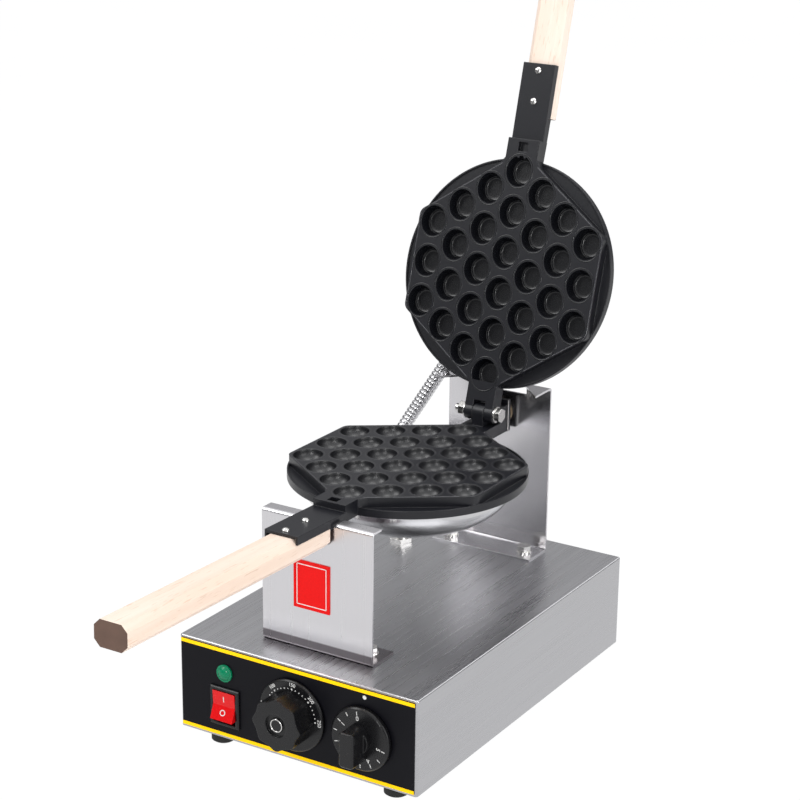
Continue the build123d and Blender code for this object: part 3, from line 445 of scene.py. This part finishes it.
def edge_line(sign):
    """Along the cup plate's edge on one side, from near the neck to near the hinge arm."""
    margin = HEX_MARGIN - BEAD_IN
    half = CUP_PITCH / 2
    step = sqrt(half ** 2 + CUP_COLUMN ** 2)
    nx, ny = half / step, CUP_COLUMN / step
    reach = ny * (max(CUP_COUNTS) - 1) * half + margin
    side = 3 * CUP_COLUMN + margin
    y_side = (reach - nx * side) / ny
    y_end = (reach - nx * BEAD_END) / ny
    corners = [(BEAD_END, -y_end), (side, -y_side), (side, y_side), (BEAD_END, y_end)]
    points = []
    for k in range(3):
        a, b = Vector(corners[k]), Vector(corners[k + 1])
        d = (b - a).normalized()
        first = a + d * (BEAD_CORNER if k else 0)
        last = b - d * (BEAD_CORNER if k < 2 else 0)
        points += [first.lerp(last, i / 12) for i in range(13)]
        if k < 2:
            after = b + (Vector(corners[k + 2]) - b).normalized() * BEAD_CORNER
            points += [last.lerp(b, t).lerp(b.lerp(after, t), t) for t in (0.2, 0.4, 0.6, 0.8)]
    return [(sign * p.x, p.y, FACE - BEAD_SINK) for p in points]


def dress_mould(side, place, profile, finish, mats):
    body = side + "_half"
    open_casting(side + "_mould", place, body, mats["mould"])
    cup_liners(side + "_cups", profile, place, body, mats[finish])
    # The edge lines, in the lighter black, paint the highlight of the plate's edge
    for sign, word in ((1, "right"), (-1, "left")):
        bead(f"{side}_edge_{word}", edge_line(sign), place, body, mats["edge"])


# Armoured conduits: ends and corners of their routes, in millimetres from the housing's front and the floor

UPPER_FERRULE = (-44.9, 285.8, 229.9)
UPPER_CORNER = (-98.0, 253.9, 129.6)
LOWER_FERRULE = (-52.1, 204.1, 162.4)
FEED_FERRULE = (-34.7, 211.3, 158.4)
FEED_CORNER = (-62.0, 238.0, 136.4)
FEED_START = (-62.0, 238.0, 84.0)
INTO_FERRULE = 0.005
ARMOUR_R, ARMOUR_PITCH, ARMOUR_SIDES = 0.0055, 0.0036, 28
STEPS_PER_TURN = 8
GROOVE_FROM, GROOVE_DEPTH, SLOPE = 0.62, 0.00075, 0.0002


def machine(point):
    """Millimetres from the housing's front and the floor to metres in the part's frame."""
    return Vector((point[0] / 1000, FRONT_Y + point[1] / 1000, point[2] / 1000))


CORNER_SHARE = 0.86
ARC_STEPS, RUN_STEPS = 40, 30


def rounded_route(a, b, c):
    """Two straight runs joined by one arc."""
    first, second = (b - a).normalized(), (c - b).normalized()
    half = 0.5 * first.angle(second)
    run = CORNER_SHARE * min((b - a).length, (c - b).length)
    radius = run / (sin(half) / cos(half))
    start, end = b - first * run, b + second * run
    inward = (second - first).normalized()
    centre = b + inward * (radius / cos(half))
    points = [a + (start - a) * (i / RUN_STEPS) for i in range(RUN_STEPS)]
    v0 = start - centre
    axis = first.cross(second).normalized()
    for i in range(ARC_STEPS):
        points.append(centre + Matrix.Rotation(2 * half * i / ARC_STEPS, 3, axis) @ v0)
    return points + [end + (c - end) * (i / RUN_STEPS) for i in range(RUN_STEPS + 1)]


def resample(points, spacing):
    """The same line as evenly spaced points."""
    lengths = [0.0]
    for p, q in zip(points, points[1:]):
        lengths.append(lengths[-1] + (q - p).length)
    count = max(2, int(lengths[-1] / spacing))
    out, k = [], 0
    for i in range(count + 1):
        s = lengths[-1] * i / count
        while k < len(points) - 2 and lengths[k + 1] < s:
            k += 1
        span = lengths[k + 1] - lengths[k]
        out.append(points[k].lerp(points[k + 1], (s - lengths[k]) / span if span else 0))
    return out


def armour(name, points, mat):
    """Interlocked tube: a helical step runs along it."""
    line = resample(points, ARMOUR_PITCH / STEPS_PER_TURN)
    sides = ARMOUR_SIDES
    verts, faces = [], []
    up = Vector((0, 0, 1))
    for k, p in enumerate(line):
        ahead = line[min(k + 1, len(line) - 1)] - line[max(k - 1, 0)]
        ahead.normalize()
        side = ahead.cross(up)
        if side.length < 0.05:
            side = ahead.cross(Vector((0, 1, 0)))
        side.normalize()
        up = side.cross(ahead).normalized()
        for i in range(sides):
            a = 2 * pi * i / sides
            phase = (k / STEPS_PER_TURN + i / sides) % 1.0
            along = (phase - GROOVE_FROM) / (1 - GROOVE_FROM)
            dent = 0.0 if phase < GROOVE_FROM else GROOVE_DEPTH * sin(pi * along)
            r = ARMOUR_R - dent - SLOPE * phase
            verts.append(p + side * (r * cos(a)) + up * (r * sin(a)))
    for k in range(len(line) - 1):
        for i in range(sides):
            j = (i + 1) % sides
            faces.append((k * sides + i, k * sides + j, (k + 1) * sides + j, (k + 1) * sides + i))
    faces.append(tuple(range(sides)))
    faces.append(tuple(reversed([(len(line) - 1) * sides + i for i in range(sides)])))
    return mesh_piece(name, verts, faces, mat, None)


def conduits(mat):
    a, b, c = machine(UPPER_FERRULE), machine(UPPER_CORNER), machine(LOWER_FERRULE)
    a = a + (b - a).normalized() * INTO_FERRULE
    c = c + (b - c).normalized() * INTO_FERRULE
    link = armour("link_armour", rounded_route(a, b, c), mat)
    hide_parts("link_conduit")
    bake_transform(link)
    low, corner, top = machine(FEED_START), machine(FEED_CORNER), machine(FEED_FERRULE)
    top = top + (corner - top).normalized() * INTO_FERRULE
    feed = armour("feed_armour", rounded_route(low, corner, top), mat)
    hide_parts("feed_conduit")
    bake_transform(feed)


# Dial marks: their thickness, and how far in front of the dial they are placed, in metres

INK, LIFT, TEXT_LIFT = 0.00012, 0.00002, 0.00003


def text_object(name, text, size, offset, place, mat):
    curve = bpy.data.curves.new(name, "FONT")
    curve.body = text
    curve.size = size
    curve.align_x = "CENTER"
    curve.align_y = "CENTER"
    curve.extrude = INK / 2
    curve.offset = offset
    curve.materials.append(mat)
    obj = bpy.data.objects.new(name, curve)
    obj.matrix_world = place
    bpy.context.scene.collection.objects.link(obj)
    return obj


def front_text(name, text, x, z, y, size, turn, mat, body):
    """Flat figures that face the user, turned about the dial's own axis."""
    place = Matrix.Translation((x, y, z)) @ Matrix.Rotation(pi / 2, 4, "X") @ Matrix.Rotation(turn, 4, "Z")
    obj = text_object(name, text, size, 0.00003, place, mat)
    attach(obj, body)


def mark(name, x, z, y, wide, tall, turn, mat, body):
    """A small flat bar that faces the user."""
    c, s = cos(turn), sin(turn)
    corners = [(-wide / 2, -tall / 2), (wide / 2, -tall / 2), (wide / 2, tall / 2), (-wide / 2, tall / 2)]
    verts = []
    for depth in (0.0, -INK):
        for u, v in corners:
            verts.append(Vector((x + u * c - v * s, y + depth, z + u * s + v * c)))
    faces = [(4, 5, 6, 7), (0, 1, 5, 4), (1, 2, 6, 5), (2, 3, 7, 6), (3, 0, 4, 7)]
    mesh_piece(name, verts, faces, mat, body, smooth=False)


def round_mark(name, x, z, y, r, mat, body):
    """A small flat dot that faces the user."""
    count = 32
    angles = [2 * pi * i / count for i in range(count)]
    ring = [Vector((x + r * cos(a), y, z + r * sin(a))) for a in angles]
    front = [v + Vector((0, -INK, 0)) for v in ring]
    faces = [tuple(range(count, 2 * count))]
    faces += [(i, (i + 1) % count, count + (i + 1) % count, count + i) for i in range(count)]
    mesh_piece(name, ring + front, faces, mat, body, smooth=False)


def dial_centre(node):
    low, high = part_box(node)
    return (low[0] + high[0]) / 2, (low[2] + high[2]) / 2, low[1]


# Thermostat's dial: angles in degrees, the rest in metres
HEAT_FIRST, HEAT_STEP, HEAT_COUNT = 214.0, 8.5, 26
HEAT_DOTS_R, HEAT_FIGURES_R, HEAT_FIGURE = 0.0209, 0.0241, 0.0038
HEAT_DOT, HEAT_BIG_DOT = 0.00046, 0.00068
RING_R, RING_THICK, RING_SINK = 0.0046, 0.00045, 0.0006


def heat_marks(mats):
    """Figures and dots round the thermostat's dial, and a plain ring on the knob's cap."""
    x, z, y = dial_centre("heat_dial")
    for k in range(HEAT_COUNT):
        a = radians(HEAT_FIRST - k * HEAT_STEP)
        round_mark(f"heat_dot_{k}", x + HEAT_DOTS_R * cos(a), z + HEAT_DOTS_R * sin(a), y - LIFT,
                   HEAT_BIG_DOT if k % 5 == 0 else HEAT_DOT, mats["white"], "heat_setting")
    for text in ("50", "100", "150", "200", "250"):
        a = radians(HEAT_FIRST - int(text) / 10 * HEAT_STEP)
        front_text("heat_" + text, text, x + HEAT_FIGURES_R * cos(a), z + HEAT_FIGURES_R * sin(a),
                   y - TEXT_LIFT, HEAT_FIGURE, a - pi / 2, mats["white"], "heat_setting")
    x, z, y = dial_centre("heat_knob")
    ring_piece("heat_ring", x, z, y + RING_SINK, mats["zinc"], "heat_setting")


def ring_piece(name, x, z, y, mat, body):
    """A thin round ring that faces the user."""
    verts, faces = [], []
    count, turns = 64, 12
    for i in range(count):
        a = 2 * pi * i / count
        for j in range(turns):
            b = 2 * pi * j / turns
            r = RING_R + RING_THICK * cos(b)
            verts.append(Vector((x + r * cos(a), y + RING_THICK * sin(b), z + r * sin(a))))
    for i in range(count):
        for j in range(turns):
            p, q = (i + 1) % count, (j + 1) % turns
            faces.append((i * turns + j, i * turns + q, p * turns + q, p * turns + j))
    mesh_piece(name, verts, faces, mat, body)


# Timer's skirt: angles in degrees, the rest in metres
TIMER_FIRST, TIMER_STEP, TIMER_COUNT = 96, 25.25, 11
TIMER_TICKS_R, TIMER_FIGURES_R, TIMER_FIGURE = 0.0196, 0.0156, 0.0046
TICK_W, TICK_L = 0.00055, 0.0028
POINT_ASIDE, POINT_UP, POINT_R = 0.0010, 0.0642, 0.0015


def timer_marks(mats):
    """Figures and ticks on the timer's skirt, and the white point on the panel above it."""
    x, z, y = dial_centre("timer_dial")
    for k in range(TIMER_COUNT):
        a = radians(TIMER_FIRST + k * TIMER_STEP)
        if k % 2 == 0:
            front_text(f"timer_{k // 2}", str(k // 2), x + TIMER_FIGURES_R * cos(a),
                       z + TIMER_FIGURES_R * sin(a), y - TEXT_LIFT, TIMER_FIGURE, a - pi / 2, mats["white"],
                       "timer_setting")
        mark(f"timer_tick_{k}", x + TIMER_TICKS_R * cos(a), z + TIMER_TICKS_R * sin(a), y - LIFT,
             TICK_W, TICK_L, a - pi / 2, mats["white"], "timer_setting")
    round_mark("timer_point", x + POINT_ASIDE, UNDERSIDE + POINT_UP, PANEL_FACE, POINT_R, mats["white"],
               "base")


def switch_marks(mats):
    """The usual I and O, laid on the rocker's two slopes."""
    low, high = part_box("switch_rocker")
    x, z = (low[0] + high[0]) / 2, (low[2] + high[2]) / 2
    for name, dz in (("I", 0.0048), ("O", -0.0052)):
        start = Vector((x, low[1] - 0.05, z + dz))
        hit, spot, normal, _ = NODES["switch_rocker"].ray_cast(start, Vector((0, 1, 0)))
        if not hit:
            continue
        up = (Vector((0, 0, 1)) - normal * normal.z).normalized()
        turn = Matrix((up.cross(normal), up, normal)).transposed().to_4x4()
        place = Matrix.Translation(spot + normal * 0.00008) @ turn
        obj = text_object("switch_" + name, name, 0.0062, 0.00004, place, mats["white"])
        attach(obj, "rocker")


# Border on the red plate's sunk field, in metres
BORDER_IN, BORDER_W, BORDER_SINK = 0.0028, 0.0006, 0.00024


def plate_border(mats):
    """A thin pale line just inside the red plate's edge."""
    low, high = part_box("front_plate")
    x, z = (low[0] + high[0]) / 2, (low[2] + high[2]) / 2
    w, h = (high[0] - low[0]) / 2 - BORDER_IN, (high[2] - low[2]) / 2 - BORDER_IN
    bars = [(x, z + h, 2 * w, BORDER_W), (x, z - h, 2 * w, BORDER_W),
            (x - w, z, BORDER_W, 2 * h), (x + w, z, BORDER_W, 2 * h)]
    for k, (bx, bz, wide, tall) in enumerate(bars):
        mark(f"plate_line_{k}", bx, bz, low[1] + BORDER_SINK, wide, tall, 0, mats["white"], "base")


# Square flange behind the hinge, in metres
FLANGE_SIDE, FLANGE_BACK = 0.0127 + 0.00004, 0.2725
STRIP_HALF, STRIP_W, STRIP_DEEP = 0.0122, 0.0013, 0.0003


def flange_edge(mats):
    """Bright machined edge of the square flange behind the hinge."""
    corners = ((0, -STRIP_HALF), (STRIP_W, -STRIP_HALF), (STRIP_W, STRIP_HALF), (0, STRIP_HALF))
    verts = [Vector((FLANGE_SIDE, FRONT_Y + FLANGE_BACK + dy, AXIS_Z + dz)) for dy, dz in corners]
    verts += [v - Vector((STRIP_DEEP, 0, 0)) for v in verts]
    faces = [(0, 1, 2, 3), (4, 7, 6, 5), (0, 4, 5, 1), (1, 5, 6, 2), (2, 6, 7, 3), (3, 7, 4, 0)]
    mesh_piece("flange_edge", verts, faces, mats["zinc"], "lower_half", smooth=False)


# Studio

FLOOR_HALF = 6.0
FLOOR_IN_STEEL = 0.92
SOFT_LIGHT = 0.50
MIRRORED_SKY = ((0.20, 0.17), (0.31, 0.30), (0.42, 0.52), (0.62, 0.95))
LAMPS = (
    ("key", (-1.3, -1.1, 1.7), (1.1, 1.1), 17),
    ("top", (0.1, 0.2, 2.1), (1.6, 1.0), 16),
    ("right", (1.75, -0.3, 0.55), (0.9, 1.2), 13),
    ("front", (0.6, -1.85, 0.72), (0.35, 0.35), 9),
    ("back", (0.5, 1.7, 1.3), (1.2, 0.8), 4),
)
LAMPS_AIM = (0, 0.05, 0.2)


def mixed(tree, factor, under, over):
    mixer = tree.nodes.new("ShaderNodeMixShader")
    tree.links.new(factor, mixer.inputs[0])
    tree.links.new(under, mixer.inputs[1])
    tree.links.new(over, mixer.inputs[2])
    return mixer.outputs[0]


def floor():
    """White to the camera and in the steel, with soft shadows for other light."""
    mesh = bpy.data.meshes.new("floor")
    s = FLOOR_HALF
    mesh.from_pydata([(-s, -s, 0), (s, -s, 0), (s, s, 0), (-s, s, 0)], [], [(0, 1, 2, 3)])
    obj = bpy.data.objects.new("floor", mesh)
    bpy.context.scene.collection.objects.link(obj)
    mat, tree, shader = new_material("floor_white")
    grain = noise(tree, coordinates(tree, (1, 1, 1)), 3.0)
    white = blend_colors(tree, grain, (0.80, 0.80, 0.80), (0.83, 0.83, 0.83))
    tree.links.new(white, shader.inputs["Base Color"])
    shader.inputs["Roughness"].default_value = 0.9
    shader.inputs["Specular IOR Level"].default_value = 0.0
    path = tree.nodes.new("ShaderNodeLightPath")
    last = shader.outputs[0]
    for ray, share, level in (("Is Glossy Ray", 1.0, FLOOR_IN_STEEL), ("Is Camera Ray", 0.97, 1.03)):
        glow = tree.nodes.new("ShaderNodeEmission")
        tree.links.new(blend_colors(tree, grain, (0.98, 0.98, 0.99), (1, 1, 1)), glow.inputs["Color"])
        glow.inputs["Strength"].default_value = level
        factor = tree.nodes.new("ShaderNodeMath")
        factor.operation = "MULTIPLY"
        factor.inputs[1].default_value = share
        tree.links.new(path.outputs[ray], factor.inputs[0])
        last = mixed(tree, factor.outputs[0], last, glow.outputs[0])
    tree.links.new(last, tree.nodes["Material Output"].inputs["Surface"])
    mesh.materials.append(mat)


def sky():
    """White behind the object, even for soft light, and darker near the horizon in reflections."""
    world = bpy.data.worlds.new("studio")
    bpy.context.scene.world = world
    world.use_nodes = True
    tree = world.node_tree
    soft = tree.nodes["Background"]
    soft.inputs["Color"].default_value = (1, 1, 1, 1)
    soft.inputs["Strength"].default_value = SOFT_LIGHT
    ramp = tree.nodes.new("ShaderNodeValToRGB")
    stops = ramp.color_ramp.elements
    stops[0].position, stops[0].color = 0.0, (0.16, 0.16, 0.17, 1)
    stops[1].position, stops[1].color = 1.0, (1, 1, 1, 1)
    for spot, level in MIRRORED_SKY:
        stop = stops.new(spot)
        stop.color = (level, level, level * 1.02, 1)
    heights = split(tree, tree.nodes.new("ShaderNodeTexCoord").outputs["Generated"])["Z"]
    tree.links.new(heights, ramp.inputs[0])
    mirrored = tree.nodes.new("ShaderNodeBackground")
    tree.links.new(ramp.outputs[0], mirrored.inputs["Color"])
    mirrored.inputs["Strength"].default_value = 1.0
    seen = tree.nodes.new("ShaderNodeBackground")
    seen.inputs["Color"].default_value = (1, 1, 1, 1)
    seen.inputs["Strength"].default_value = 1.02
    path = tree.nodes.new("ShaderNodeLightPath")
    last = mixed(tree, path.outputs["Is Glossy Ray"], soft.outputs[0], mirrored.outputs[0])
    last = mixed(tree, path.outputs["Is Camera Ray"], last, seen.outputs[0])
    tree.links.new(last, tree.nodes["World Output"].inputs["Surface"])


def lamps():
    target = Vector(LAMPS_AIM)
    for name, spot, size, power in LAMPS:
        light = bpy.data.lights.new(name, "AREA")
        light.shape = "RECTANGLE"
        light.size, light.size_y = size
        light.energy = power
        obj = bpy.data.objects.new(name, light)
        place = Vector(spot)
        aim = (target - place).to_track_quat("-Z", "Y").to_matrix().to_4x4()
        obj.matrix_world = Matrix.Translation(place) @ aim
        bpy.context.scene.collection.objects.link(obj)


# Camera fitted to the photo, its place in millimetres from the housing's front and the floor
CAMERA_AZIMUTH, CAMERA_ELEVATION, CAMERA_ROLL = radians(31.78), radians(18.37), 0.011
CAMERA_PLACE = (780.0, -1124.8, 732.1)
CAMERA_LENS = 97.67


def camera():
    az, el, roll = CAMERA_AZIMUTH, CAMERA_ELEVATION, CAMERA_ROLL
    back = Vector((sin(az) * cos(el), -cos(az) * cos(el), sin(el)))
    right = Vector((cos(az), sin(az), 0))
    up = back.cross(right)
    x_axis = cos(roll) * right + sin(roll) * up
    y_axis = -sin(roll) * right + cos(roll) * up
    turn = Matrix((x_axis, y_axis, back)).transposed().to_4x4()
    data = bpy.data.cameras.new("camera")
    data.lens = CAMERA_LENS
    data.sensor_width = 36.0
    data.clip_end = 30
    obj = bpy.data.objects.new("camera", data)
    obj.matrix_world = Matrix.Translation(machine(CAMERA_PLACE)) @ turn
    bpy.context.scene.collection.objects.link(obj)
    scene = bpy.context.scene
    scene.camera = obj
    scene.view_settings.view_transform = "Standard"


materials = make_materials()
finish_cad(materials)
dress_mould("lower", LOWER, dish_profile(), "dish", materials)
dress_mould("upper", UPPER, cup_profile(), "cup", materials)
conduits(materials["polished"])
heat_marks(materials)
timer_marks(materials)
switch_marks(materials)
flange_edge(materials)
plate_border(materials)
floor()
sky()
lamps()
camera()
